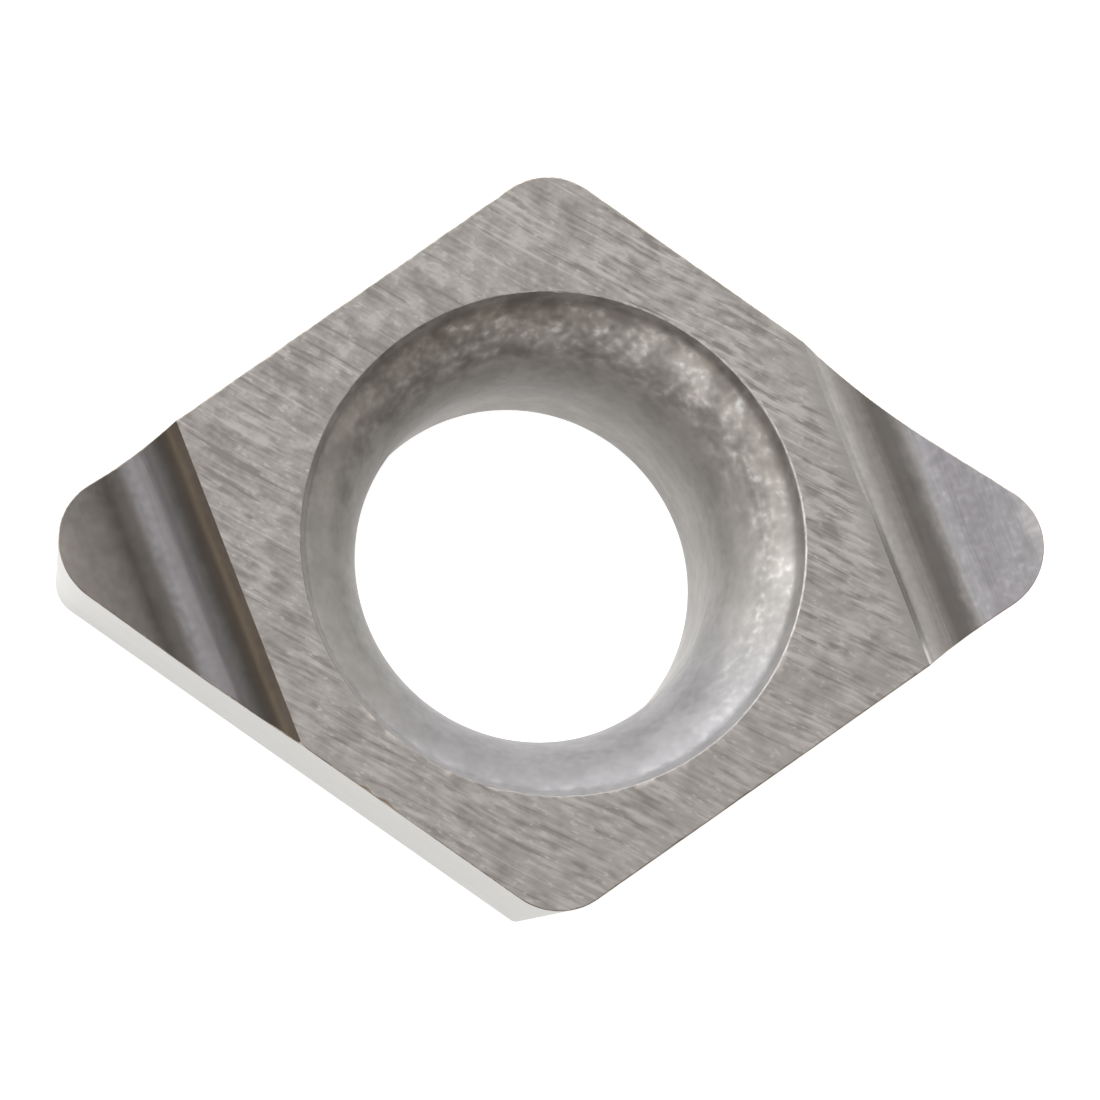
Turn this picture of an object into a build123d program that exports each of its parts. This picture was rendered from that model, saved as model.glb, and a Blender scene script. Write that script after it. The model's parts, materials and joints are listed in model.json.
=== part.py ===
from build123d import *
import math
import os

# Indexable carbide turning insert: one solid, pressed, sintered and then ground.
# Millimetres and degrees. The origin is on the screw hole's axis, on the seating base.
# +Z points out of the ground top face, and +X along the long diagonal to a cutting tip.

# Rhombic plan, measured at the top face
inscribed_circle = 3.97  # diameter of the circle that touches all four sides
tip_angle = 70.1  # between the two sides that meet at a cutting tip
nose_radius = 0.44  # rounding of the two cutting tips
blunt_radius = 0.43  # rounding of the two blunt corners
blunt_base_radius = 0.06  # to which that rounding runs out at the base

# Height and flanks
thickness = 1.79  # from the seating base to the top face
relief_angle = 7.0  # how far every flank leans inwards on its way down
keenest_corner = 0.04  # least rounding that a cutting tip keeps at the base

# Screw hole, and the curved seat that the screw's head bears on
hole_radius = 1.135  # straight land that the screw's shank passes through
rim_radius = 1.60  # where the seat opens in the top face
rim_wall_height = 0.10  # short steep wall just inside the rim
rim_wall_lean = 22.0  # lean of that wall from the hole's axis
seat_depth = 0.926  # from the top face down to the start of the straight land

# Chip groove ground across each cutting tip, at a slant that gives the insert its hand
groove_angle = 69.4  # between the long diagonal and the groove's length
groove_offset = 1.96  # from the hole's axis to the crease where the groove begins
groove_radius = 0.57  # hollow that the rounded edge of the grinding wheel leaves
groove_depth = 0.166  # from the top face to the lowest line of the hollow
rake_angle = 15.0  # slope of the flat that climbs from the hollow to the tip

cut_overrun = 0.5  # how far a cutting shape passes the faces that it opens


def corner_arc(direction, corner_angle, radius, inset, height):
    """Rounded corner of the plan at one height, where each side has moved inwards by the inset."""
    reach = (inscribed_circle / 2 - inset - radius) / math.sin(math.radians(corner_angle / 2))
    turn = math.radians(direction)
    centre = Pos(reach * math.cos(turn), reach * math.sin(turn), height)
    span = 180 - corner_angle
    return centre * CenterArc((0, 0), radius, direction - span / 2, span)


def rounded_rhombus(tip_rounding, blunt_rounding, inset, height):
    """Four corner arcs, anticlockwise from the cutting tip on +X."""
    arcs = []
    for direction in (0, 180):
        arcs.append(corner_arc(direction, tip_angle, tip_rounding, inset, height))
        arcs.append(corner_arc(direction + 90, 180 - tip_angle, blunt_rounding, inset, height))
    return arcs


def flat_face(arcs):
    """Plane face inside four corner arcs and the sides that join them."""
    outline = []
    for arc, next_arc in zip(arcs, arcs[1:] + arcs[:1]):
        outline += [arc, Line(arc @ 1, next_arc @ 0)]
    return make_face(outline).face()


def corner_face(low, high):
    """Face between the two arcs of one corner: a cone where they share an axis, else straight rulings."""
    middle = high.arc_center
    if (Vector(middle.X, middle.Y, 0) - low.arc_center).length > 1e-6:
        return Face.make_surface_from_curves(low.edge(), high.edge())
    upright = Axis((middle.X, middle.Y, 0), (0, 0, 1))
    return Face.revolve(Edge.make_line(low @ 0, high @ 0), 180 - tip_angle, upright)


def blank():
    """Solid rhombus. Its plane flanks and conical tips lean at the relief angle, and its blunt corners grow keener downwards."""
    base_inset = thickness * math.tan(math.radians(relief_angle))
    tip_base_radius = max(nose_radius - base_inset, keenest_corner)
    base = rounded_rhombus(tip_base_radius, blunt_base_radius, base_inset, 0)
    top = rounded_rhombus(nose_radius, blunt_radius, 0, thickness)
    faces = [flat_face(base), flat_face(top)]
    for i in range(4):
        j = (i + 1) % 4
        faces.append(corner_face(base[i], top[i]))
        flank = Polyline(base[i] @ 1, base[j] @ 0, top[j] @ 0, top[i] @ 1, close=True)
        faces.append(make_face(flank).face())
    return Solid(Shell(faces))


def screw_seat():
    """Shape of the screw hole: rim wall, then a bulging arc that runs tangent into the land."""
    wall_foot_radius = rim_radius - rim_wall_height * math.tan(math.radians(rim_wall_lean))
    width = wall_foot_radius - hole_radius
    height = seat_depth - rim_wall_height
    bulge_radius = (width**2 + height**2) / (2 * width)
    half_sweep = math.atan2(height, bulge_radius - width) / 2
    land_top = thickness - seat_depth
    wall_foot = (wall_foot_radius, thickness - rim_wall_height)
    bulge_middle = (
        hole_radius + bulge_radius * (1 - math.cos(half_sweep)),
        land_top + bulge_radius * math.sin(half_sweep),
    )
    land_start = (hole_radius, land_top)
    above = thickness + cut_overrun
    wall = Polyline((0, -cut_overrun), (0, above), (rim_radius, above), (rim_radius, thickness), wall_foot)
    bulge = ThreePointArc(wall_foot, bulge_middle, land_start)
    land = Polyline(land_start, (hole_radius, -cut_overrun), (0, -cut_overrun))
    section = Plane.XZ * make_face([wall, bulge, land])
    return revolve(section, Axis.Z)


def chip_groove():
    """Shape of one groove: a hollow arc from the crease, then the rake flat up to the tip."""
    slant = math.radians(groove_angle)
    rake = math.radians(rake_angle)
    across = (math.sin(slant), math.cos(slant), 0)
    along = (math.cos(slant), -math.sin(slant), 0)
    arc_centre_height = thickness - groove_depth + groove_radius
    bottom_offset = groove_offset + math.sqrt(groove_radius**2 - (groove_radius - groove_depth) ** 2)
    crease = (groove_offset, thickness)
    bottom = (bottom_offset, thickness - groove_depth)
    flat_start = (
        bottom_offset + groove_radius * math.sin(rake),
        arc_centre_height - groove_radius * math.cos(rake),
    )
    far = flat_start[0] + inscribed_circle
    flat_end = (far, flat_start[1] + inscribed_circle * math.tan(rake))
    above = flat_end[1] + cut_overrun
    hollow = ThreePointArc(crease, bottom, flat_start)
    rest = Polyline(flat_start, flat_end, (far, above), (groove_offset, above), crease)
    section = Plane(origin=(0, 0, 0), x_dir=across, z_dir=along) * make_face([hollow, rest])
    return extrude(section, amount=far, both=True)


def insert():
    """The blank with its screw seat, and the same groove ground at both tips."""
    groove = chip_groove()
    return blank() - screw_seat() - groove - Rot(0, 0, 180) * groove


os.makedirs("parts", exist_ok=True)
export_step(insert(), "parts/insert.step")
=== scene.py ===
# %% [markdown]
# # A carbide turning insert
# A small rhombic cutting insert, seen from above as it lies on a white table. The CAD model gives
# its true size. This lesson rebuilds its skin finely enough for a close-up, grinds and sinters its
# surfaces with procedural materials, and lights it with soft lamps.

# %% Load the frame
import json
import math

import bpy
from mathutils import Matrix, Vector, noise


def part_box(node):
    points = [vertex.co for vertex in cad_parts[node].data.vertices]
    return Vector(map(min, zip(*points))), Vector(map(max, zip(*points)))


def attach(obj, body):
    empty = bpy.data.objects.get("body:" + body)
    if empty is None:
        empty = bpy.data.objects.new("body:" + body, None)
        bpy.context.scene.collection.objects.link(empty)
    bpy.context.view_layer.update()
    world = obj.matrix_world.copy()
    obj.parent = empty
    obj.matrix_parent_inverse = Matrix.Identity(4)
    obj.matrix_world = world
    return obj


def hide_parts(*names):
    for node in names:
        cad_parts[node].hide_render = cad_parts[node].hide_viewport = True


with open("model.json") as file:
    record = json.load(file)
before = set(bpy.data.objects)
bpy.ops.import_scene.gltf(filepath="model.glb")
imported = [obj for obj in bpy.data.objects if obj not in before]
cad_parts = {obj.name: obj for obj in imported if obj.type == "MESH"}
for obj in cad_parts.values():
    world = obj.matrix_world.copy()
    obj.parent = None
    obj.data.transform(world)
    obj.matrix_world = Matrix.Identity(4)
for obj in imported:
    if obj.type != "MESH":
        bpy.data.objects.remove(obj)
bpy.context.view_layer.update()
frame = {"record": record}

MM = 0.001
record = frame["record"]
mounts = {mount["name"]: mount for mount in record["mounts"]}
low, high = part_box("insert")
thickness = (high.z - low.z) / MM
print("insert", [round(v / MM, 3) for v in (high - low)], "mm")

# %% [markdown]
# ## Sizes
# The flanks, the hole and the height come from the frame's own mounts, so the skin can't drift away
# from the solid. Only what no mount states is written again here: the roundings, the seat and the
# chip groove, in millimetres and degrees, as on the workshop drawing. The skin is a hair smaller
# than the solid all round, so that it never stands proud of it.

# %% Sizes of the insert
flank_axis = Vector(mounts["flank_right_rear"]["axis"])
flank_point = Vector(mounts["flank_right_rear"]["pos_m"]) / MM
relief_slope = math.tan(math.asin(-flank_axis.z))
half_tip = math.pi / 2 - math.atan2(flank_axis.y, flank_axis.x)
hair = 0.0005
top_reach = flank_point.xy.length + (thickness - flank_point.z) * relief_slope
inscribed_radius = top_reach - hair

nose_radius = 0.44
blunt_radius = 0.43
blunt_base_radius = 0.06
hole_radius = mounts["screw_hole"]["dims"]["r_mm"]
seat_depth = thickness - mounts["screw_hole"]["dims"]["length_mm"]
rim_radius = 1.60
rim_wall_height = 0.10
rim_wall_lean = math.radians(22.0)
groove_slant = math.radians(69.4)
groove_offset = 1.96
groove_radius = 0.57
groove_depth = 0.166
rake = math.radians(15.0)
print("inscribed circle", round(2 * inscribed_radius, 3), "mm")
print("tip angle", round(math.degrees(2 * half_tip), 2), "degrees")

# %% [markdown]
# ## The chip groove as a formula
# A grinding wheel with a rounded edge passes in a straight line over each tip. Square to its path
# the groove is an arc that runs tangent into the rake flat, so one short formula gives the depth
# at any distance from the crease, and both tips share it.

# %% Depth of the chip groove
across = Vector((math.sin(groove_slant), math.cos(groove_slant)))
bottom_reach = math.sqrt(groove_radius**2 - (groove_radius - groove_depth) ** 2)
flat_reach = bottom_reach + groove_radius * math.sin(rake)
flat_depth = groove_depth - groove_radius * (1 - math.cos(rake))


def past_crease(point):
    """Distance of a point of the plan beyond the nearer groove's crease, towards the tip."""
    return abs(point.dot(across)) - groove_offset


def ground_height(point):
    """Height of the ground surface at a point of the plan."""
    reach = past_crease(point)
    if reach <= 0:
        return thickness
    if reach < flat_reach:
        sunk = math.sqrt(groove_radius**2 - (reach - bottom_reach) ** 2) - groove_radius + groove_depth
    else:
        sunk = flat_depth - (reach - flat_reach) * math.tan(rake)
    return thickness - max(sunk, 0.0)


print("groove", round(bottom_reach, 3), "to its bottom,", round(flat_reach, 3), "to the flat")

# %% [markdown]
# ## The outline
# The plan is a rhombus with rounded corners. A walk round it counts from 0 to 4, one whole number
# for each corner and the side after it, and gives a point at any height with its outward direction.
# Going down, the sides move inwards, the tips keep the same cone and the blunt corners grow keener.

# %% Rounded corners
step = 0.016
quarter_turn = math.pi / 2
base_inset = thickness * relief_slope
tip_kind = (half_tip, nose_radius, nose_radius - base_inset)
blunt_kind = (quarter_turn - half_tip, blunt_radius, blunt_base_radius)
corner_kinds = [tip_kind, blunt_kind] * 2


def corner_point(turn, share, height):
    """Point and outward direction at a share of one rounded corner, at a height."""
    half_angle, top_radius, base_radius = corner_kinds[turn % 4]
    radius = base_radius + (top_radius - base_radius) * height / thickness
    inset = (thickness - height) * relief_slope
    direction = Vector((math.cos(turn * quarter_turn), math.sin(turn * quarter_turn)))
    centre = direction * (inscribed_radius - inset - radius) / math.sin(half_angle)
    angle = turn * quarter_turn + (math.pi - 2 * half_angle) * (share - 0.5)
    outward = Vector((math.cos(angle), math.sin(angle)))
    return centre + outward * radius, outward


print("foremost point", round(corner_point(0, 0.5, thickness)[0].x, 3), "mm from the axis")


# %% Walk round the plan
def quarter_lengths(turn):
    """Length of one corner's arc and of the side that follows it, at the top."""
    half_angle, radius, _ = corner_kinds[turn % 4]
    start, end = corner_point(turn, 1, thickness)[0], corner_point(turn + 1, 0, thickness)[0]
    return (math.pi - 2 * half_angle) * radius, (end - start).length


def outline_at(walk, height):
    """Point of the sharp outline at a height, and the direction it faces."""
    turn = math.floor(walk)
    arc, side = quarter_lengths(turn)
    along = (walk - turn) * (arc + side)
    if along <= arc:
        return corner_point(turn, along / arc, height)
    start, outward = corner_point(turn, 1, height)
    end = corner_point(turn + 1, 0, height)[0]
    return start.lerp(end, (along - arc) / side), outward


def top_edge_at(walk):
    """Where the ground surface meets the flank: point of the plan, height and outward direction."""
    height = thickness
    for _ in range(8):
        edge, outward = outline_at(walk, height)
        height = ground_height(edge)
    return edge, height, outward


once_round = sum(sum(quarter_lengths(turn)) for turn in range(4))
print("once round is", round(once_round, 2), "mm")

# %% [markdown]
# ## Where the points go
# The groove is straight, so its best faces are long ribs that cross it from flank to flank. Points
# on one flank are spaced evenly, and each gets a partner on the other flank at the same distance
# from the crease, found by halving. Between the grooves the points are simply evenly spaced.

# %% Stations round the outline
def solve(function, low_end, high_end):
    """Where a rising or falling function crosses zero, by halving."""
    rising = function(high_end) > function(low_end)
    for _ in range(40):
        middle = (low_end + high_end) / 2
        if (function(middle) > 0) == rising:
            high_end = middle
        else:
            low_end = middle
    return (low_end + high_end) / 2


def reach_at(walk):
    return past_crease(top_edge_at(walk)[0])


arc_share = quarter_lengths(0)[0] / sum(quarter_lengths(0))
tip_turn = math.atan2(across.y, across.x) / (math.pi - 2 * half_tip)
foremost = (tip_turn + 0.5) * arc_share
far_crease = solve(reach_at, foremost, 0.9)
near_crease = solve(reach_at, -0.9, foremost)
steps_a_turn = once_round / 4 / step
rib_count = round((far_crease - foremost) * steps_a_turn)
far_side = [far_crease + (foremost - far_crease) * i / rib_count for i in range(rib_count)]
near_side = [near_crease]
for walk in far_side[1:]:
    reach = reach_at(walk)
    near_side.append(solve(lambda w: reach_at(w) - reach, near_crease, foremost))
flat_count = round((near_crease + 2 - far_crease) * steps_a_turn)
flat_span = near_crease + 2 - far_crease
flat_side = [far_crease + flat_span * i / flat_count for i in range(1, flat_count)]
half_walk = near_side + [foremost] + far_side[::-1] + flat_side
stations = half_walk + [walk + 2 for walk in half_walk]
half_count = len(half_walk)
print(len(stations), "stations,", rib_count, "ribs in each groove")

# %% [markdown]
# ## One closed skin
# The insert is one solid, so it becomes one mesh. Rows of points are laid along its surfaces and
# joined by bands of faces. Each band remembers its finish, which keeps the borders between ground
# and sintered surfaces exact, with no texture to fit.

# %% A skin made of rows and bands
FINISHES = (
    "ground_top", "chip_groove", "ground_flank", "sintered_seat",
    "seating_base", "worn_edge", "worn_rim",
)


class Skin:
    """Points in millimetres, faces, and the finish of each face."""

    def __init__(self):
        self.points = []
        self.faces = []
        self.finish_of = []

    def row(self, points):
        start = len(self.points)
        self.points += [tuple(point) for point in points]
        return list(range(start, len(self.points)))

    def face(self, corners, finish):
        self.faces.append(corners)
        self.finish_of.append(FINISHES.index(finish))

    def band(self, first, second, finish, closed=True):
        """Four-sided faces between two rows of the same length."""
        count = len(first)
        for i in range(count if closed else count - 1):
            j = (i + 1) % count
            self.face([first[i], first[j], second[j], second[i]], finish)

    def turn_between(self, first, second):
        """Signed angle round the axis from one point to another."""
        (x, y, _), (u, v, _) = self.points[first], self.points[second]
        return math.remainder(math.atan2(v, u) - math.atan2(y, x), math.tau)

    def fill(self, outer, hole, finish, upward):
        """Flat triangles between two rows round the axis, which mesh like the teeth of a zip."""
        nearest = min(hole, key=lambda index: abs(self.turn_between(outer[0], index)))
        start = hole.index(nearest)
        outer, hole = outer + outer[:1], hole[start:] + hole[:start] + [nearest]
        a = b = 0
        while a < len(outer) - 1 or b < len(hole) - 1:
            outer_lags = b == len(hole) - 1
            if not outer_lags and a < len(outer) - 1:
                outer_lags = self.turn_between(outer[a + 1], hole[b + 1]) > 0
            third = outer[a + 1] if outer_lags else hole[b + 1]
            corners = [outer[a], third, hole[b]]
            self.face(corners if upward else corners[::-1], finish)
            a, b = (a + 1, b) if outer_lags else (a, b + 1)


skin = Skin()


def bend(start, corner, end, share):
    """Point on the smooth curve that rounds off a corner."""
    return start.lerp(corner, share).lerp(corner.lerp(end, share), share)


print("an empty skin with", len(FINISHES), "finishes")

# %% [markdown]
# ## The broken edge
# A ground cutting edge isn't a perfect line: it is broken by a few thousandths of a millimetre, and
# here and there a grain has chipped out. The edge's width is a smooth noise along the walk. Three
# larger chips on the lower left are given by their place on the walk and their size.

# %% How wide the edge is broken
edge_break = 0.006
chips = [(2.715, 0.018), (2.752, 0.022), (2.60, 0.012)]


def soft(value):
    """Smooth step from 0 to 1."""
    value = min(max(value, 0.0), 1.0)
    return value * value * (3 - 2 * value)


def edge_width(walk):
    """Width of the broken edge at one station."""
    ripple = noise.noise(Vector((walk * 63, 0.3, 0)))
    chip = max(noise.noise(Vector((walk * 15, 7.1, 0))) - 0.36, 0) * 0.02
    for place, size in chips:
        distance = abs((walk - place + 2) % 4 - 2) * once_round / 4
        chip += size * soft(1 - distance / (3.2 * size))
    return edge_break * (1 + 0.5 * ripple) + chip


widths = [edge_width(walk) for walk in stations]
print("broken by", round(min(widths), 4), "to", round(max(widths), 4), "mm")

# %% [markdown]
# ## The outer rows
# Rows of points run round the outside, from under the base, up the flank and over the cutting
# edge. The rows that round the edge off follow its width, and a narrow guard row on each side
# keeps the flat faces flat. Beside a crease the rows lean along it, so that the crease stays
# sharp right up to the flank.

# %% Points beside the edge
lean_span = 0.045
crease_line = Vector((across.y, -across.x))
crease_walks = [near_crease, far_crease, near_crease + 2, far_crease + 2, near_crease + 4]


def inward_at(walk, outward):
    """Direction in which the rows step inwards from the edge."""
    lean = max(soft(1 - abs(walk - place) / lean_span) for place in crease_walks)
    along = -crease_line / crease_line.dot(outward) if lean > 0 else -outward
    return (-outward).lerp(along, lean)


def flank_point_at(walk, height):
    return outline_at(walk, height)[0].to_3d() + Vector((0, 0, height))


def surface_point(edge, inward, inset):
    """Point of the ground surface a little inside the edge."""
    inside = edge + inward * inset
    return inside.to_3d() + Vector((0, 0, ground_height(inside)))


print("the rows lean beside", len(crease_walks) - 1, "ends of the creases")

# %% Rows from the base, up the flank and over the cutting edge
guard = 0.006
base_break = 0.012
rounding = (0.25, 0.5, 0.75)


def outer_column(walk):
    """Points of every outer row at one station, from under the base to the top surface."""
    edge, height, outward = top_edge_at(walk)
    inward = inward_at(walk, outward)
    width = edge_width(walk)
    foot = flank_point_at(walk, 0)
    under = foot - outward.to_3d() * base_break
    wall = flank_point_at(walk, base_break)
    crest = edge.to_3d() + Vector((0, 0, height))
    wall_top = flank_point_at(walk, height - width)
    surface = surface_point(edge, inward, width)
    column = [under - outward.to_3d() * guard, under]
    column += [bend(under, foot, wall, share) for share in rounding]
    column += [wall, flank_point_at(walk, base_break + guard)]
    column += [flank_point_at(walk, height - width - guard), wall_top]
    column += [bend(wall_top, crest, surface, share) for share in rounding]
    return column + [surface, surface_point(edge, inward, width + guard)]


columns = [outer_column(walk) for walk in stations]
outer_rows = [skin.row(row) for row in zip(*columns)]
outer_finish = ["seating_base"] * 2 + ["ground_flank"] * 6 + ["worn_edge"] * 4
for lower, upper, finish in zip(outer_rows, outer_rows[1:], outer_finish):
    skin.band(lower, upper, finish)
inner_row = outer_rows[-1]
for i in range(len(stations)):
    j = (i + 1) % len(stations)
    in_groove = i % half_count < 2 * rib_count
    finish = "chip_groove" if in_groove else "ground_top"
    skin.face([outer_rows[-2][i], outer_rows[-2][j], inner_row[j], inner_row[i]], finish)
print(len(outer_rows), "rows round the outside")

# %% [markdown]
# ## The groove's ribs
# Each rib joins two partner stations across the groove. It is divided a few times, so that its
# points all lie on the ground surface, and the last ribs close on the foremost point of the tip.

# %% Ribs across both grooves
rib_parts = 12
crease_rows = []
for first_station in (0, half_count):
    tip = inner_row[first_station + rib_count]
    previous = None
    for k in range(rib_count):
        near = inner_row[first_station + k]
        far = inner_row[first_station + 2 * rib_count - k]
        start, end = Vector(skin.points[near]), Vector(skin.points[far])
        between = [start.xy.lerp(end.xy, part / rib_parts) for part in range(1, rib_parts)]
        rib = [near] + skin.row([(p.x, p.y, ground_height(p)) for p in between]) + [far]
        if previous is None:
            crease_rows.append(rib)
        else:
            skin.band(rib, previous, "chip_groove", closed=False)
        previous = rib
    for a, b in zip(previous, previous[1:]):
        skin.face([a, tip, b], "chip_groove")
print(len(skin.faces), "faces so far")

# %% [markdown]
# ## The screw seat
# The seat is turned about the hole's axis, so it is a section swept round. The section runs from
# the top face over a rounded rim, down a short steep wall, along the bulging arc that the screw's
# head bears on, and down the straight land. Grinding leaves the rim keen on one side and worn on
# the other, so the rounding's width changes with direction, and its rows wander a little.

# %% Section of the screw seat
foot_blend = 0.035
seat_parts = 720
bulge_parts = 28
wall_foot_radius = rim_radius - rim_wall_height * math.tan(rim_wall_lean)
wall_foot = Vector((wall_foot_radius, thickness - rim_wall_height))
bulge_width = wall_foot.x - hole_radius
bulge_height = seat_depth - rim_wall_height
bulge_radius = (bulge_width**2 + bulge_height**2) / (2 * bulge_width)
bulge_sweep = math.atan2(bulge_height, bulge_radius - bulge_width)


def rim_break(angle):
    """Width of the rim's rounding: keen on the left, more worn on the right, with a few nicks."""
    nick = max(noise.noise(Vector((math.cos(angle), math.sin(angle), 0.7)) * 13) - 0.25, 0) * 0.03
    return 0.004 + 0.005 * soft((math.cos(angle) + 0.5) / 1.5) + nick


def bulge_point(angle):
    """Point of the section's arc, counted from the straight land upwards."""
    return Vector((
        hole_radius + bulge_radius * (1 - math.cos(angle)),
        thickness - seat_depth + bulge_radius * math.sin(angle),
    ))


print("bulge", round(bulge_radius, 3), "mm in radius,", round(math.degrees(bulge_sweep), 1), "degrees")


# %% Sweep the section round the hole
def seat_section(rounding_width):
    """The section from the top face to under the base, as distance from the axis and height."""
    rim = Vector((rim_radius, thickness))
    down_wall = (wall_foot - rim).normalized()
    lip = rim + Vector((rounding_width, 0))
    wall_start = rim + down_wall * rounding_width
    wall_end = wall_foot - down_wall * foot_blend
    blend_sweep = bulge_sweep - foot_blend / bulge_radius
    mouth = Vector((hole_radius, 0))
    out = Vector((base_break, 0))
    up = Vector((0, base_break))
    section = [lip + Vector((guard, 0)), lip]
    section += [bend(lip, rim, wall_start, share) for share in rounding]
    section += [wall_start, wall_end]
    section += [bend(wall_end, wall_foot, bulge_point(blend_sweep), share) for share in rounding]
    section += [bulge_point(blend_sweep * (1 - i / bulge_parts)) for i in range(bulge_parts + 1)]
    section += [mouth + up * 1.5, mouth + up]
    section += [bend(mouth + up, mouth, mouth + out, share) for share in rounding]
    return section + [mouth + out, mouth + out * 1.5]


def swept_section(angle):
    """The section's points in one direction from the axis, uneven where they belong to the rim."""
    direction = Vector((math.cos(angle), math.sin(angle), 0))
    wander = 0.003 * noise.noise(direction * 22) + 0.002 * noise.noise(direction * 60)
    points = [direction * place.x + Vector((0, 0, place.y)) for place in seat_section(rim_break(angle))]
    for index in range(1, 5):
        points[index] += direction * wander
    return points


sections = [swept_section(math.tau * i / seat_parts) for i in range(seat_parts)]
seat_rows = [skin.row(points) for points in zip(*sections)]
seat_finish = ["ground_top"] + ["worn_rim"] * 4
seat_finish += ["sintered_seat"] * (len(seat_rows) - 7) + ["seating_base"]
for upper, lower, finish in zip(seat_rows, seat_rows[1:], seat_finish):
    skin.band(upper, lower, finish)
print(len(seat_rows), "rows down the seat")

# %% [markdown]
# ## Closing the skin
# Two flat rings are still open: the top face between the outline, the creases and the rim, and
# the base between its edge and the hole. Both are filled with triangles. Then the skin becomes a
# mesh in metres that rides on the insert's body and stands for its solid.

# %% Close the top and the base
near_crease_row, far_crease_row = crease_rows
flat_rows = [inner_row[2 * rib_count:half_count], inner_row[half_count + 2 * rib_count:]]
top_loop = flat_rows[0] + far_crease_row[:-1] + flat_rows[1] + near_crease_row[:-1]
skin.fill(top_loop, seat_rows[0], "ground_top", upward=True)
skin.fill(outer_rows[0], seat_rows[-1], "seating_base", upward=False)

mesh = bpy.data.meshes.new("carbide_insert")
mesh.from_pydata([tuple(v * MM for v in point) for point in skin.points], [], skin.faces)
for polygon, finish in zip(mesh.polygons, skin.finish_of):
    polygon.material_index = finish
    polygon.use_smooth = True
mesh.set_sharp_from_angle(angle=math.radians(30))
mesh.validate()
insert = bpy.data.objects.new("carbide_insert", mesh)
bpy.context.scene.collection.objects.link(insert)
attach(insert, "root")
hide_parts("insert")
print(len(mesh.vertices), "points,", len(mesh.polygons), "faces")

# %% [markdown]
# ## The camera
# The photograph was taken with a long lens from almost straight above, leaning a little to the lower
# left. That lean is why one flank shows as a narrow strip. A long lens from far away keeps the
# rhombus nearly free of perspective, so the distance and the lens are given together.

# %% Camera
camera_distance = 139.8 * MM
camera_lean = math.radians(12.584)
camera_turn = math.radians(-44.623)
camera_roll = math.radians(-0.163)
aim_right = -0.0234 * MM
aim_up = -0.0434 * MM

turned = Matrix.Rotation(camera_turn, 4, "Z") @ Matrix.Rotation(camera_lean, 4, "X")
turned = turned @ Matrix.Rotation(-camera_turn + camera_roll, 4, "Z")
aim = turned @ Vector((aim_right, aim_up, camera_distance))
camera = bpy.data.objects.new("camera", bpy.data.cameras.new("camera"))
camera.data.lens = 730.7
camera.data.sensor_width = 36
camera.data.clip_start = 0.01
camera.data.clip_end = 10
camera.matrix_world = Matrix.Translation(Vector((0, 0, thickness * MM)) + aim) @ turned
bpy.context.scene.collection.objects.link(camera)
bpy.context.scene.camera = camera
print("camera at", [round(v * 1000, 1) for v in camera.matrix_world.translation], "mm")

# %% [markdown]
# ## Building blocks for the materials
# Cycles draws a surface from a net of nodes. These helpers place one node at a time and join its
# inputs, so that each material below reads as a list of steps. All patterns are measured in
# millimetres on the insert itself, which keeps every scratch and grain at its real size.

# %% Helpers for node nets
def join(net, node, inputs):
    """Links a node's inputs to other nodes, or gives them plain values."""
    for name, value in inputs.items():
        if isinstance(value, bpy.types.NodeSocket):
            net.links.new(value, node.inputs[name])
        else:
            node.inputs[name].default_value = value
    return node


def step_in(net, kind, inputs=None, **settings):
    """Adds one node to a net, sets it up and joins its inputs."""
    node = net.nodes.new(kind)
    for name, value in settings.items():
        setattr(node, name, value)
    return join(net, node, inputs or {})


def reckon(net, operation, *values, clamp=False):
    """Arithmetic on values that change over the surface."""
    inputs = dict(enumerate(values))
    return step_in(net, "ShaderNodeMath", inputs, operation=operation, use_clamp=clamp).outputs[0]


def product(net, first, *others):
    """One value times the others."""
    for other in others:
        first = reckon(net, "MULTIPLY", first, other)
    return first


def add_share(net, base, value, share):
    """The base plus a share of a value."""
    return reckon(net, "MULTIPLY_ADD", value, share, base)


def on_vectors(net, operation, first, second=None):
    """Arithmetic on places and directions."""
    inputs = {0: first} if second is None else {0: first, 1: second}
    node = step_in(net, "ShaderNodeVectorMath", inputs, operation=operation)
    return node.outputs["Value" if operation in ("DOT_PRODUCT", "LENGTH") else "Vector"]


def scaled(net, place, factor):
    """A place measured in another unit."""
    inputs = {"Vector": place, "Scale": factor}
    return step_in(net, "ShaderNodeVectorMath", inputs, operation="SCALE").outputs["Vector"]


def parts_of(net, place):
    """A place's three parts, named X, Y and Z."""
    return step_in(net, "ShaderNodeSeparateXYZ", {0: place}).outputs


def stretch(net, value, old_low, old_high, new_low=0.0, new_high=1.0, smooth=True):
    """Carries one range of a value over to another, softly or in a straight line."""
    kind = "SMOOTHSTEP" if smooth else "LINEAR"
    inputs = {"Value": value, "From Min": old_low, "From Max": old_high}
    inputs |= {"To Min": new_low, "To Max": new_high}
    return step_in(net, "ShaderNodeMapRange", inputs, interpolation_type=kind).outputs["Result"]


print("helpers ready")

# %% [markdown]
# ## Noise and node groups
# Nearly all the insert's detail is noise: soft clouds, drawn out, squeezed or cut off at a level.
# What several finishes share becomes a node group. It is built once, with named inputs, and each
# material places it with its own values.

# %% Noise and groups
def clouds(net, place, scale, detail=2.0, roughness=0.5):
    """Soft noise between 0 and 1; the scale is in clouds a millimetre."""
    inputs = {"Vector": place, "Scale": scale, "Detail": detail, "Roughness": roughness}
    return step_in(net, "ShaderNodeTexNoise", inputs).outputs["Fac"]


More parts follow.
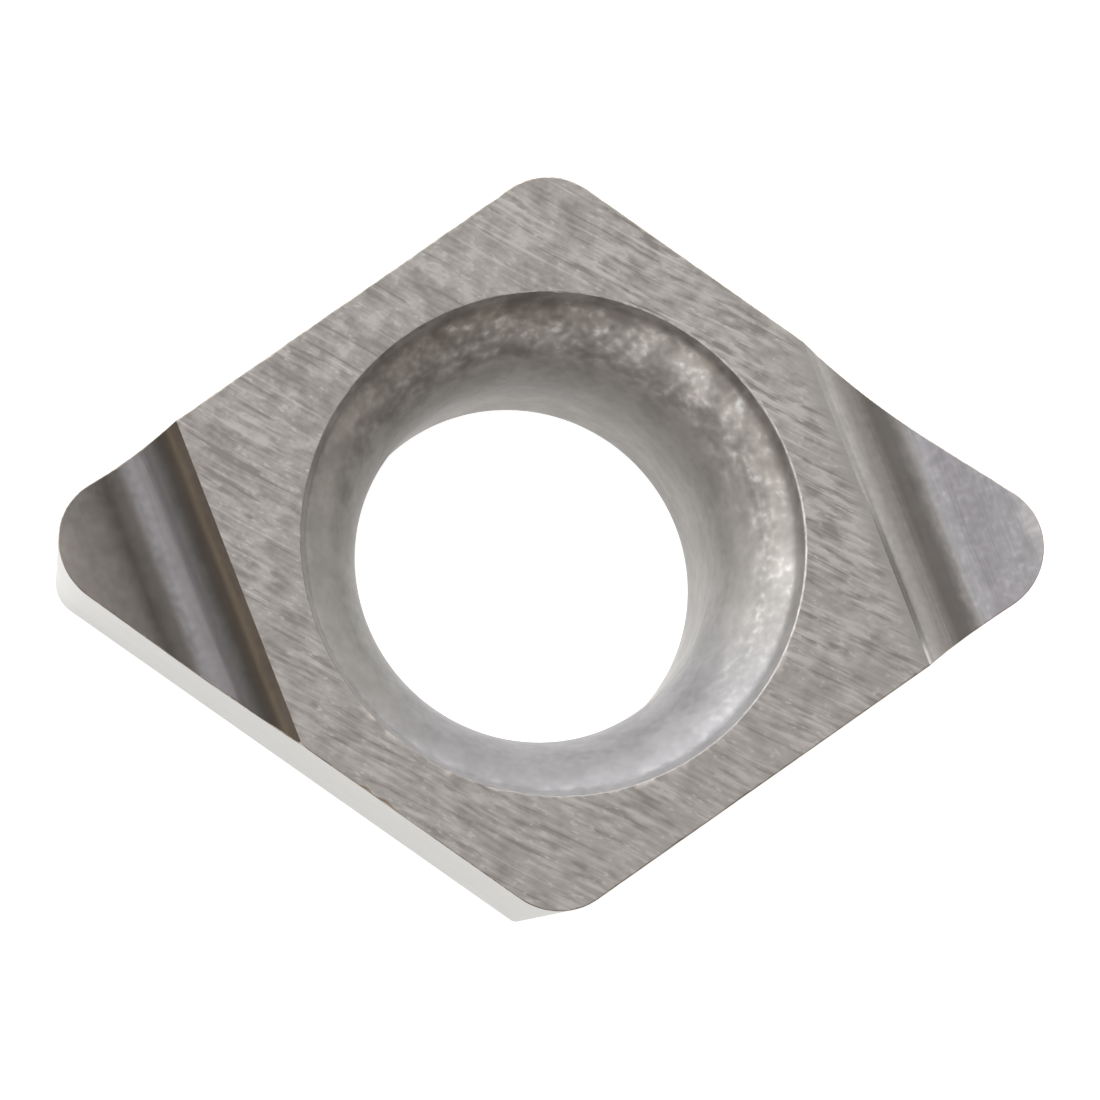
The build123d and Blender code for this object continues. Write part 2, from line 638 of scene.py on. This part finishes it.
def flat_clouds(net, place, scale, detail=1.0, roughness=0.5):
    """Soft noise that ignores the third direction, which is quicker to draw."""
    inputs = {"Vector": place, "Scale": scale, "Detail": detail, "Roughness": roughness}
    return step_in(net, "ShaderNodeTexNoise", inputs, noise_dimensions="2D").outputs["Fac"]


def new_group(name, inputs, outputs):
    """Empty node group with named sockets, its inputs and a function that fills an output."""
    group = bpy.data.node_groups.new(name, "ShaderNodeTree")
    for label, kind, value in inputs:
        socket = group.interface.new_socket(label, in_out="INPUT", socket_type=kind)
        if value is not None:
            socket.default_value = value
    for label in outputs:
        group.interface.new_socket(label, in_out="OUTPUT", socket_type="NodeSocketFloat")
    given = group.nodes.new("NodeGroupInput").outputs
    result = group.nodes.new("NodeGroupOutput").inputs
    return group, given, lambda label, value: group.links.new(value, result[label])


def use_group(net, name, inputs):
    """Places a copy of a group in a material, with its own values."""
    node = net.nodes.new("ShaderNodeGroup")
    node.node_tree = bpy.data.node_groups[name]
    return join(net, node, inputs).outputs


number_kind = "NodeSocketFloat"
place_input = ("Place", "NodeSocketVector", None)
print("noise and groups ready")

# %% [markdown]
# ## Grinding lines
# A grinding wheel leaves thousands of short parallel furrows. None runs the whole width: each grain
# bites in, ploughs a fraction of a millimetre and lifts out again. Noise drawn out along the
# direction of grinding has just that look. The group turns the place until its first part runs
# along the furrows, bows it a little for a wheel that doesn't travel dead straight, and then draws
# it out. Blotches and fine grit break the furrows up, a slender noise gives the few long
# scratches, and the peaks of a fine one are the bright flecks. Calm fades the furrows and brings
# out soft patches, as on the part of the top that was rubbed since.

# %% Group: grinding lines
def build_grinding_lines():
    inputs = [
        place_input,
        ("Direction", number_kind, 0.0),
        ("Bend", number_kind, 0.0),
        ("Length", number_kind, 0.4),
        ("Width", number_kind, 0.03),
        ("Calm", number_kind, 0.0),
    ]
    group, given, put = new_group("grinding lines", inputs, ["Height", "Tone", "Fleck"])
    inputs = {"Vector": given["Place"], "Angle": reckon(group, "MULTIPLY", given["Direction"], -1.0)}
    turned = step_in(group, "ShaderNodeVectorRotate", inputs, rotation_type="Z_AXIS").outputs[0]
    parts = parts_of(group, turned)
    bow = product(group, parts["X"], parts["X"], given["Bend"])
    drift = product(group, flat_clouds(group, turned, 1.3, 0.0), 0.035)
    bowed = reckon(group, "ADD", add_share(group, parts["Y"], bow, -0.5), drift)
    along = reckon(group, "DIVIDE", parts["X"], given["Length"])
    sideways = reckon(group, "DIVIDE", bowed, given["Width"])
    drawn = step_in(group, "ShaderNodeCombineXYZ", {0: along, 1: sideways}).outputs[0]

    def squeezed(along_share, side_share):
        """The drawn-out place, with more or fewer clouds in each direction."""
        return on_vectors(group, "MULTIPLY", drawn, (along_share, side_share, 1.0))

    furrows = flat_clouds(group, drawn, 1.0, 0.9, 0.55)
    strength = flat_clouds(group, squeezed(0.3, 0.2), 1.0, 1.0)
    strength = stretch(group, strength, 0.35, 0.6, 0.35, 1.3)
    strength = product(group, strength, add_share(group, 1.0, given["Calm"], -0.6))
    relief = product(group, reckon(group, "SUBTRACT", furrows, 0.5), strength)

    long_lines = flat_clouds(group, squeezed(0.25, 1.4), 1.0, 0.0)
    deep_lines, raised_lines = (stretch(group, long_lines, *ends) for ends in ((0.68, 0.84), (0.32, 0.18)))
    scratch = reckon(group, "SUBTRACT", deep_lines, raised_lines)
    put("Height", add_share(group, relief, scratch, -0.2))

    blotches = flat_clouds(group, turned, 4.4, 3.0, 0.7)
    grit = flat_clouds(group, squeezed(2.0, 1.6), 1.0, 1.0, 0.6)
    patches = stretch(group, flat_clouds(group, turned, 9.0, 2.0), 0.50, 0.72, -0.10, 0.4)
    tone = add_share(group, -1.1, blotches, 2.2)
    tone = add_share(group, tone, relief, 2.6)
    tone = add_share(group, tone, reckon(group, "SUBTRACT", grit, 0.5), 0.8)
    tone = add_share(group, tone, patches, given["Calm"])
    put("Tone", add_share(group, tone, scratch, -0.7))

    fleck = stretch(group, flat_clouds(group, squeezed(3.0, 1.7), 1.0, 1.0), 0.58, 0.78)
    put("Fleck", product(group, fleck, stretch(group, blotches, 0.40, 0.62)))
    return group


print(build_grinding_lines().name)

# %% [markdown]
# ## Sintered grain
# The seat isn't ground at all. It keeps the skin it got in the sintering furnace: dull, a little mottled,
# and full of tiny crystal faces, some of which flash. A fine noise gives the grain. Its peaks and a second
# noise's dots, where a slow cloud allows them, become painted glints that stand for that flash.

# %% Group: sintered grain
def build_sintered_grain():
    inputs = [place_input, ("Size", number_kind, 0.03)]
    group, given, put = new_group("sintered grain", inputs, ["Height", "Tone", "Painted Glint"])
    small = scaled(group, given["Place"], reckon(group, "DIVIDE", 1.0, given["Size"]))
    grain = clouds(group, small, 1.0, 1.6, 0.45)
    put("Height", grain)
    mottle = clouds(group, small, 0.25, 2.0, 0.6)
    tone = reckon(group, "ADD", product(group, grain, 0.35), product(group, mottle, 0.65))
    put("Tone", stretch(group, tone, 0.32, 0.68, -1.0, 1.0, smooth=False))
    # Painted glints: these peaks and dots are only used to lighten the colour.
    dots = stretch(group, clouds(group, small, 0.6, 0.8), 0.60, 0.72)
    glow = add_share(group, stretch(group, grain, 0.46, 0.80, 0.0, 0.6), dots, 0.9)
    put("Painted Glint", reckon(group, "MULTIPLY", glow, stretch(group, mottle, 0.42, 0.62), clamp=True))
    return group


print(build_sintered_grain().name)

# %% [markdown]
# ## Distance from the crease
# The marks that the groove's wheel leaves, and the groove's bands of painted light and shade, run along
# the groove, so they depend only on how far a point lies beyond the crease. The group works that out from
# the same driving sizes as the mesh. It also tells how far along the groove a point lies, and tells the
# two tips apart, because their painted light and shade differ.

# %% Group: past the crease
def build_past_crease():
    group, given, put = new_group("past the crease", [place_input], ["Reach", "Along", "Right Tip"])
    signed = on_vectors(group, "DOT_PRODUCT", given["Place"], across.to_3d())
    put("Reach", reckon(group, "SUBTRACT", reckon(group, "ABSOLUTE", signed), groove_offset))
    put("Along", on_vectors(group, "DOT_PRODUCT", given["Place"], crease_line.to_3d()))
    put("Right Tip", reckon(group, "GREATER_THAN", signed, 0.0))
    return group


print(build_past_crease().name)

# %% [markdown]
# ## Bare carbide
# All seven finishes are the same material, tungsten carbide with a little cobalt: a middling grey
# that reflects like steel. They differ in roughness, in their marks and in how the tone varies.
# Where oxide dulls the sintered skin, it is a little less of a metal.

# %% A carbide material to start from
def carbide(name, roughness, metallic=1.0):
    """Carbide material: its net, its shader and the place on the insert in millimetres."""
    material = bpy.data.materials.new(name)
    material.use_nodes = True
    net = material.node_tree
    shader = net.nodes["Principled BSDF"]
    shader.inputs["Metallic"].default_value = metallic
    shader.inputs["Roughness"].default_value = roughness
    mesh.materials.append(material)
    return net, shader, scaled(net, step_in(net, "ShaderNodeTexCoord").outputs["Object"], 1 / MM)


def engrave(net, shader, height, depth):
    """Lets a height pattern tilt the surface; the depth is in micrometres."""
    inputs = {"Height": height, "Distance": depth * 1e-6, "Strength": 1.0}
    net.links.new(step_in(net, "ShaderNodeBump", inputs).outputs[0], shader.inputs["Normal"])


def paint(net, shader, colours):
    """Gives the surface its colour, and tells how many nodes the material took."""
    net.links.new(colours, shader.inputs["Base Color"])
    print(mesh.materials[-1].name, "has", len(net.nodes), "nodes")


print("bare carbide ready")

# %% [markdown]
# ## Colours and masks
# A tone between two limits, a list of tones to follow, a grey that darkens or lightens what lies
# below: these three make every colour here. Masks say where on the insert something happens,
# either between two heights or towards one side of the hole.

# %% Helpers for colours and masks
def mix_colours(net, share, first, second, blend="MIX"):
    """First colour, with a share of the second laid over it."""
    inputs = {"Factor": share, 6: first, 7: second}
    return step_in(net, "ShaderNodeMix", inputs, data_type="RGBA", blend_type=blend).outputs[2]


def tinted(net, colour_low, colour_high, value):
    """Colour between two limits, for a value from -1 to 1."""
    share = stretch(net, value, -1.0, 1.0, smooth=False)
    return mix_colours(net, share, (*colour_low, 1), (*colour_high, 1))


def shaded(net, colours, shade):
    """Colours made darker or lighter by a grey factor."""
    grey = step_in(net, "ShaderNodeCombineColor", {0: shade, 1: shade, 2: shade}).outputs[0]
    return mix_colours(net, 1.0, colours, grey, "MULTIPLY")


def ramp(net, share, span, stops):
    """Colour along a span; each stop is a place on the span, then red, green and blue."""
    node = step_in(net, "ShaderNodeValToRGB", {0: share})
    elements = node.color_ramp.elements
    while len(elements) < len(stops):
        elements.new(0.5)
    for element, (position, *colour) in zip(elements, stops):
        element.position = position / span
        element.color = (*colour, 1)
    return node.outputs["Color"]


def plan(net, place):
    """A place seen from above: its height is taken out."""
    return on_vectors(net, "MULTIPLY", place, (1, 1, 0))


def facing(net, place, degrees, start, full):
    """Mask that grows towards one side of the hole; start and full are cosines of the angle off it."""
    angle = math.radians(degrees)
    direction = on_vectors(net, "NORMALIZE", plan(net, place))
    towards = on_vectors(net, "DOT_PRODUCT", direction, (math.cos(angle), math.sin(angle), 0))
    return stretch(net, towards, start, full)


def between(net, value, start, full, fade, end):
    """Mask that grows from start to full and fades out again from fade to end."""
    return product(net, stretch(net, value, start, full), stretch(net, value, end, fade))


print("colours and masks ready")

# %% [markdown]
# ## The ground top
# The top is ground flat before the grooves are cut, in one sweep that runs down to the right. Light
# and dark furrows, small pale flecks and cloudy patches share the surface. The upper left is calmer
# than the rest. On the lower right the seat's rim has pale nicks where it was knocked, and on the
# right tip the metal is evenly pale just before the crease.

# %% Ground top
net, shader, place = carbide("ground_top", 0.32)
inputs = {"Place": place, "Direction": math.radians(-27.5), "Bend": 0.015, "Length": 0.20, "Width": 0.040}
inputs["Calm"] = facing(net, place, 135, 0.3, 0.95)
lines = use_group(net, "grinding lines", inputs)
engrave(net, shader, lines["Height"], 0.85)

parts = parts_of(net, place)
contrast = stretch(net, parts["Y"], -1.6, 0.6, 0.85, 1.25)
tone = stretch(net, parts["X"], -1.8, 1.6, -0.12, 0.12)
tone = add_share(net, tone, lines["Tone"], contrast)
tone = add_share(net, tone, lines["Fleck"], 1.3)
top_colours = tinted(net, (0.305, 0.293, 0.287), (0.565, 0.557, 0.556), tone)

beside_rim = stretch(net, on_vectors(net, "LENGTH", plan(net, place)), 1.65, 1.605)
here_and_there = stretch(net, flat_clouds(net, place, 6.0, 2.0), 0.50, 0.72)
nicked = product(net, beside_rim, facing(net, place, -60, -0.3, 0.4), here_and_there)
top_colours = mix_colours(net, nicked, top_colours, (0.72, 0.69, 0.67, 1))

crease = use_group(net, "past the crease", {"Place": place})
even = product(net, stretch(net, crease["Reach"], -0.12, -0.01, 0.0, 0.85), crease["Right Tip"])
paint(net, shader, mix_colours(net, even, top_colours, (0.40, 0.395, 0.39, 1)))

# %% [markdown]
# ## The chip grooves
# The grooves are ground with a finer wheel, along their own length. Their bands are painted light and
# shade that follow the groove's profile. On the left tip a narrow brown band hugs the crease, and the
# colour turns bluish further out. The right tip has only faint bands, with a strip of painted highlight
# along a part of its crease. Each stop is a distance past the crease in millimetres, then the colour
# there.

# %% Bands of the chip grooves
band_span = 1.25
# Painted light and shade: each list lays one groove's reflections across its profile as colour.
left_light_and_shade_bands = [
    (0.0, 0.29, 0.265, 0.25), (0.03, 0.34, 0.305, 0.28), (0.06, 0.43, 0.39, 0.34),
    (0.09, 0.25, 0.23, 0.215), (0.13, 0.23, 0.23, 0.24), (0.20, 0.39, 0.42, 0.47),
    (0.25, 0.31, 0.30, 0.33), (0.30, 0.27, 0.26, 0.28), (0.37, 0.32, 0.32, 0.35),
    (0.405, 0.45, 0.46, 0.50), (0.45, 0.31, 0.31, 0.32), (0.55, 0.25, 0.25, 0.26),
    (0.66, 0.48, 0.49, 0.52), (0.80, 0.57, 0.59, 0.63), (0.96, 0.74, 0.75, 0.80),
]
right_light_and_shade_bands = [
    (0.0, 0.29, 0.28, 0.27), (0.02, 0.265, 0.255, 0.245), (0.04, 0.28, 0.27, 0.26),
    (0.055, 0.33, 0.32, 0.31), (0.08, 0.385, 0.375, 0.365), (0.20, 0.39, 0.38, 0.38),
    (0.245, 0.54, 0.55, 0.58), (0.28, 0.42, 0.43, 0.45), (0.35, 0.38, 0.39, 0.42),
    (0.41, 0.56, 0.57, 0.60), (0.475, 0.39, 0.39, 0.42), (0.60, 0.42, 0.42, 0.47),
    (0.88, 0.45, 0.455, 0.495), (0.96, 0.57, 0.57, 0.60),
]
print(len(left_light_and_shade_bands), "and", len(right_light_and_shade_bands), "stops")

# %% Chip grooves
net, shader, place = carbide("chip_groove", 0.22)
inputs = {"Place": place, "Direction": -groove_slant, "Length": 0.5, "Width": 0.02}
lines = use_group(net, "grinding lines", inputs)
grain = use_group(net, "sintered grain", {"Place": place, "Size": 0.045})
crease = use_group(net, "past the crease", {"Place": place})
engrave(net, shader, add_share(net, grain["Height"], lines["Height"], 0.6), 0.35)

share = reckon(net, "DIVIDE", add_share(net, crease["Reach"], grain["Tone"], 0.005), band_span)
tips = [ramp(net, share, band_span, bands) for bands in (left_light_and_shade_bands, right_light_and_shade_bands)]
groove_colours = mix_colours(net, crease["Right Tip"], *tips)

rake_part = stretch(net, crease["Reach"], 0.25, 0.5)
swing = stretch(net, rake_part, 0.0, 1.0, 0.07, 0.10)
shade = add_share(net, 1.0, grain["Tone"], swing)
shade = add_share(net, shade, lines["Tone"], 0.04)
# Painted glints on the right tip's rake flat.
shade = add_share(net, shade, product(net, grain["Painted Glint"], rake_part, crease["Right Tip"]), 0.13)
# Painted highlight: a pale strip beside the lower part of the right tip's crease.
highlight_strip = product(net, stretch(net, crease["Reach"], 0.035, 0.01), stretch(net, crease["Along"], 0.1, 0.5))
shade = add_share(net, shade, product(net, highlight_strip, crease["Right Tip"]), 0.8)
paint(net, shader, shaded(net, groove_colours, shade))

# %% [markdown]
# ## The flanks
# The flanks are ground finest of all, because they meet the rake to form the cutting edge. Their
# lines run level, so the pattern is laid on the length and the height instead of the plan.

# %% Ground flank
net, shader, place = carbide("ground_flank", 0.28)
parts = parts_of(net, place)
level = step_in(net, "ShaderNodeCombineXYZ", {0: parts["X"], 1: parts["Z"]}).outputs[0]
lines = use_group(net, "grinding lines", {"Place": level, "Length": 0.5, "Width": 0.02})
engrave(net, shader, lines["Height"], 0.4)
paint(net, shader, tinted(net, (0.385, 0.375, 0.352), (0.45, 0.44, 0.415), lines["Tone"]))

# %% [markdown]
# ## The sintered seat
# The seat keeps its sintered skin, duller than the ground faces. Its tone changes with height and carries
# painted light and shade: a dark steep wall of painted shade, a coarse band with painted light and painted
# glints, a smooth darker waist and a paler foot. The side turned towards the lamps gets a list of painted
# light, evener and greyer, and the side turned away gets a list of painted shade, so each side has its own
# list of tones. Each stop is a height above the base in millimetres, then the colour there.

# %% Tones of the sintered seat
# Painted shade: tones for the side of the seat turned away from the lamps.
painted_shade_tones = [
    (0.0, 0.42, 0.40, 0.38), (0.45, 0.385, 0.365, 0.345), (0.70, 0.31, 0.29, 0.275),
    (0.90, 0.265, 0.25, 0.235), (1.14, 0.25, 0.235, 0.22), (1.40, 0.27, 0.255, 0.24),
    (1.50, 0.32, 0.305, 0.29), (1.62, 0.36, 0.345, 0.33), (1.68, 0.25, 0.235, 0.22),
    (1.71, 0.205, 0.19, 0.175), (1.79, 0.22, 0.205, 0.19),
]
# Painted light: tones for the side of the seat turned towards the lamps.
painted_light_tones = [
    (0.0, 0.57, 0.56, 0.54), (0.45, 0.52, 0.51, 0.49), (0.80, 0.45, 0.44, 0.425),
    (1.06, 0.42, 0.41, 0.40), (1.38, 0.39, 0.385, 0.37), (1.50, 0.395, 0.39, 0.375),
    (1.60, 0.335, 0.33, 0.315), (1.645, 0.31, 0.305, 0.295), (1.67, 0.32, 0.315, 0.305),
    (1.685, 0.38, 0.375, 0.36), (1.70, 0.41, 0.405, 0.39), (1.79, 0.37, 0.36, 0.345),
]
print(len(painted_shade_tones), "and", len(painted_light_tones), "stops")

# %% [markdown]
# ## The seat's painted light
# Three places in the seat get painted light, paler than the rest. Each has the heights between which it
# grows and fades, the direction from the hole with the reach to its sides, and how much paler it is.
# Towards the lower side the skin turns slightly cool, and soft patches cloud the upper side.

# %% Sintered seat
# Painted light: each place lifts the shade on one side of the seat, between two heights.
painted_light_places = [
    ((1.18, 1.38, 1.46, 1.52), (3, 0.75, 0.98), 0.50),
    ((1.50, 1.64, 1.70, 1.77), (12, 0.86, 0.98), 0.24),
    ((1.46, 1.58, 1.68, 1.70), (186, 0.55, 0.95), 0.27),
]
net, shader, place = carbide("sintered_seat", 0.50, metallic=0.75)
grain = use_group(net, "sintered grain", {"Place": place, "Size": 0.05})
engrave(net, shader, grain["Height"], 0.8)
height = parts_of(net, place)["Z"]

share = reckon(net, "DIVIDE", add_share(net, height, grain["Tone"], 0.012), thickness)
# The direction from the hole mixes the painted light tones with the painted shade tones.
sides = [ramp(net, share, thickness, tones) for tones in (painted_light_tones, painted_shade_tones)]
seat_colours = mix_colours(net, facing(net, place, 80, -0.5, 0.8), *sides)
cool = product(net, facing(net, place, -80, 0.2, 0.9), stretch(net, height, 0.8, 1.3))
seat_colours = mix_colours(net, cool, seat_colours, (0.985, 0.992, 1.07, 1), "MULTIPLY")

# Painted light: the coarse band is lifted paler towards one side of the hole, and its grain swings more
# there.
coarse_lit_band = product(net, between(net, height, 1.30, 1.58, 1.66, 1.70), facing(net, place, 55, -0.5, 0.7))
shade = add_share(net, 1.0, coarse_lit_band, 0.23)
shade = add_share(net, shade, grain["Tone"], add_share(net, 0.08, coarse_lit_band, 0.15))
upper = product(net, facing(net, place, 85, -0.2, 0.8), stretch(net, height, 1.15, 1.5))
patchy = stretch(net, clouds(net, place, 5.0, 2.5, 0.6), 0.34, 0.66, -0.22, 0.22)
shade = add_share(net, shade, patchy, add_share(net, 0.2, upper, 0.8))
for heights, direction, paler in painted_light_places:
    painted_light_mask = product(net, between(net, height, *heights), facing(net, place, *direction))
    shade = add_share(net, shade, painted_light_mask, paler)
seat_colours = shaded(net, seat_colours, shade)
# Painted glints: where the grain's glints, the coarse band and the patches meet, the colour turns near
# white.
painted_glint = product(net, grain["Painted Glint"], coarse_lit_band, stretch(net, patchy, -0.15, 0.1, 0.2, 0.65))
paint(net, shader, mix_colours(net, painted_glint, seat_colours, (0.88, 0.90, 0.91, 1)))

# %% [markdown]
# ## The seating base
# The underside is ground like the top and then lapped, so its lines are fainter, and it is dull
# and even. It rests in the holder's pocket, where nothing rubs it bright.

# %% Seating base
net, shader, place = carbide("seating_base", 0.38)
inputs = {"Place": place, "Direction": math.radians(35), "Length": 0.3, "Width": 0.03}
lines = use_group(net, "grinding lines", inputs)
grain = use_group(net, "sintered grain", {"Place": place, "Size": 0.04})
engrave(net, shader, reckon(net, "ADD", lines["Height"], grain["Height"]), 0.8)
paint(net, shader, tinted(net, (0.36, 0.36, 0.36), (0.46, 0.46, 0.46), lines["Tone"]))

# %% [markdown]
# ## Worn edges
# Grinding heat leaves a thin brown line along the cutting edges, with bright nicks, painted glints where a
# grain is gone, and one pale stretch on the lower left. The seat's rim gets a painted highlight instead,
# most of all on the lower right.

# %% Worn edge and worn rim
net, shader, place = carbide("worn_edge", 0.40)
grain = use_group(net, "sintered grain", {"Place": place, "Size": 0.03})
engrave(net, shader, grain["Height"], 0.6)
# Painted glints: the grain's glints lighten the edge as bright nicks.
nicks = add_share(net, grain["Tone"], grain["Painted Glint"], 2.5)
pale_stretch = stretch(net, facing(net, place, -123, 0.98, 0.995), 0.0, 1.0, 0.0, 2.0)
nicks = reckon(net, "ADD", nicks, pale_stretch)
paint(net, shader, tinted(net, (0.16, 0.135, 0.11), (0.42, 0.37, 0.32), nicks))

net, shader, place = carbide("worn_rim", 0.50, metallic=0.6)
grain = use_group(net, "sintered grain", {"Place": place, "Size": 0.03})
engrave(net, shader, grain["Height"], 0.8)
# Painted highlight: the rim is paler towards one side of the hole and darker opposite.
highlight_side = facing(net, place, 60, -0.4, 0.6)
tone = add_share(net, -0.9, add_share(net, 1.1, grain["Tone"], 0.8), highlight_side)
paint(net, shader, tinted(net, (0.23, 0.22, 0.215), (0.68, 0.645, 0.62), tone))

# %% [markdown]
# ## The white table
# The insert lies on a white table that the camera sees as pure white. The paper is a dull pale
# surface that takes the insert's shadow, with a soft glow that only the camera and reflections see.
# It lies a hair below the base, because two faces in one plane would show through each other, and
# it is clear from behind, so that the insert can also be looked at from below.

# %% White table
reach = 1.0
floor_height = -0.002 * MM
floor_mesh = bpy.data.meshes.new("floor")
corners = [(x * reach, y * reach, floor_height) for x, y in ((-1, -1), (1, -1), (1, 1), (-1, 1))]
floor_mesh.from_pydata(corners, [], [(0, 1, 2, 3)])
floor = bpy.data.objects.new("floor", floor_mesh)
bpy.context.scene.collection.objects.link(floor)
paper = bpy.data.materials.new("white_paper")
paper.use_nodes = True
floor_mesh.materials.append(paper)
net = paper.node_tree
net.nodes.clear()
rays = step_in(net, "ShaderNodeLightPath").outputs
seen = reckon(net, "MAXIMUM", rays["Is Camera Ray"], rays["Is Glossy Ray"])
seen = reckon(net, "MAXIMUM", seen, rays["Is Transmission Ray"])
glow = step_in(net, "ShaderNodeEmission", {"Strength": product(net, seen, 0.95)}).outputs[0]
dull = step_in(net, "ShaderNodeBsdfDiffuse", {"Color": (0.3, 0.3, 0.3, 1)}).outputs[0]
front = step_in(net, "ShaderNodeAddShader", {0: dull, 1: glow}).outputs[0]
clear = step_in(net, "ShaderNodeBsdfTransparent").outputs[0]
behind = step_in(net, "ShaderNodeNewGeometry").outputs["Backfacing"]
sided = step_in(net, "ShaderNodeMixShader", {0: behind, 1: front, 2: clear}).outputs[0]
step_in(net, "ShaderNodeOutputMaterial", {"Surface": sided})
print("table", round(2 * reach), "m wide")

# %% [markdown]
# ## The room
# Bare metal shows what surrounds it. The room is a warm dim grey, with a pale band low down, as if
# the white table ran on to its walls.

# %% Room
world = bpy.data.worlds.new("studio")
bpy.context.scene.world = world
world.use_nodes = True
net = world.node_tree
direction = step_in(net, "ShaderNodeTexCoord").outputs["Generated"]
climb = reckon(net, "ABSOLUTE", parts_of(net, direction)["Z"])
room = mix_colours(net, stretch(net, climb, 0.11, 0.05), (0.232, 0.195, 0.155, 1), (1, 1, 1, 1))
net.links.new(room, net.nodes["Background"].inputs["Color"])
print("room ready")

# %% [markdown]
# ## Soft lamps
# The lamps decide how bare metal looks. A broad window of soft light stands behind the insert, with
# two smaller panels above it. A round lamp hangs overhead, and weak ones fill the left and right.
# Each lamp's power follows from its size and from how bright its face should look.

# %% Lamps
def soft_lamp(name, azimuth, elevation, distance, width, height, glow, shape="RECTANGLE"):
    """Area lamp that faces the insert; the glow is how bright its face looks, with 1 as white."""
    data = bpy.data.lights.new(name, "AREA")
    data.shape = shape
    data.size, data.size_y = width, height
    area = width * height * (math.pi / 4 if shape == "ELLIPSE" else 1)
    data.energy = glow * math.pi * area
    turn, rise = math.radians(azimuth), math.radians(elevation)
    toward = Vector((math.cos(turn) * math.cos(rise), math.sin(turn) * math.cos(rise), math.sin(rise)))
    facing_in = toward.to_track_quat("Z", "Y").to_matrix().to_4x4()
    lamp = bpy.data.objects.new(name, data)
    lamp.matrix_world = Matrix.Translation(toward * distance) @ facing_in
    lamp.visible_camera = False
    bpy.context.scene.collection.objects.link(lamp)


soft_lamp("window", 112, 25, 0.30, 1.00, 0.32, 2.13)
soft_lamp("window_top", 110, 50, 0.35, 0.50, 0.25, 2.03)
soft_lamp("window_bar", 100, 58, 0.35, 0.35, 0.12, 3.34)
soft_lamp("overhead", -159, 83, 0.30, 0.15, 0.15, 0.72, "ELLIPSE")
soft_lamp("front_left", -130, 15, 0.30, 0.25, 0.12, 2.00)
soft_lamp("right_low", 15, 12, 0.30, 0.35, 0.12, 0.68)
soft_lamp("right", 26, 32, 0.30, 0.16, 0.08, 0.45)
print(len(bpy.data.lights), "soft lamps")

# %% Finish
bpy.context.scene.view_settings.view_transform = "Standard"
